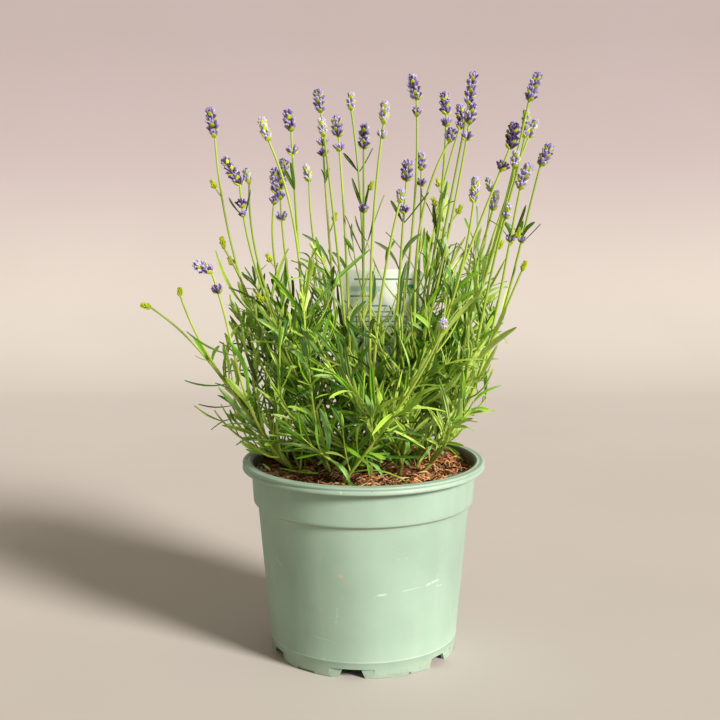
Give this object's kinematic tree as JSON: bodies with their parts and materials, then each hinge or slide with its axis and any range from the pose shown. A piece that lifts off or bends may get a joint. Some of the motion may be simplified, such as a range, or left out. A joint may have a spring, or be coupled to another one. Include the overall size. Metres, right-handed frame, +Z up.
{
  "type": "potted lavender",
  "caption": "Flowering lavender in a round nursery pot: upright leafy stems with flower spikes rise from the compost, with a blank plant label behind them.",
  "frame": {"origin": "centre of the flat centre foot under the pot, on the surface that the pot stands on", "axes": "+Z up along the pot's axis, towards the flowers; -Y towards the viewer of the picture; +X to the viewer's right"},
  "size_m": [0.3197, 0.2222, 0.452],
  "materials": {
    "pot_plastic": "moulded sage green polypropylene, satin",
    "compost": "moist peat and coir with loose fibres, matt",
    "label_card": "white printed plastic card, satin",
    "stem_and_leaf": "living green leaf and stem, matt with a fine grey bloom",
    "flower_violet": "downy violet calyces and petals, matt",
    "flower_pale": "downy grey-green calyces tinged with lilac, matt"
  },
  "bodies": {
    "root": {"pot": "pot_plastic", "compost": "compost", "label": "label_card", "branch_01": "stem_and_leaf", "branch_02": "stem_and_leaf", "branch_03": "stem_and_leaf", "branch_04": "stem_and_leaf", "branch_05": "stem_and_leaf", "branch_06": "stem_and_leaf", "branch_07": "stem_and_leaf", "branch_08": "stem_and_leaf", "branch_09": "stem_and_leaf", "branch_10": "stem_and_leaf", "branch_11": "stem_and_leaf", "branch_12": "stem_and_leaf", "branch_13": "stem_and_leaf", "branch_14": "stem_and_leaf", "branch_15": "stem_and_leaf", "branch_16": "stem_and_leaf", "branch_17": "stem_and_leaf", "branch_18": "stem_and_leaf", "branch_19": "stem_and_leaf", "branch_20": "stem_and_leaf", "branch_21": "stem_and_leaf", "spike_02a": "flower_violet", "spike_03a": "flower_violet", "spike_04a": "flower_violet", "spike_05b": "flower_violet", "spike_06a": "flower_violet", "spike_06b": "flower_violet", "spike_07a": "flower_violet", "spike_08a": "flower_violet", "spike_09b": "flower_violet", "spike_11a": "flower_violet", "spike_11b": "flower_violet", "spike_12a": "flower_violet", "spike_12b": "flower_violet", "spike_13a": "flower_violet", "spike_13b": "flower_violet", "spike_14a": "flower_violet", "spike_14b": "flower_violet", "spike_15a": "flower_violet", "spike_17a": "flower_violet", "spike_19a": "flower_violet", "spike_20a": "flower_violet", "spike_04b": "flower_pale", "spike_05a": "flower_pale", "spike_07b": "flower_pale", "spike_08b": "flower_pale", "spike_09a": "flower_pale", "spike_10a": "flower_pale", "spike_10b": "flower_pale", "spike_15b": "flower_pale", "spike_16a": "flower_pale", "spike_16b": "flower_pale", "spike_17b": "flower_pale", "spike_18a": "flower_pale", "spike_18b": "flower_pale", "spike_19b": "flower_pale", "spike_21a": "flower_pale"}
  },
  "joints": []
}
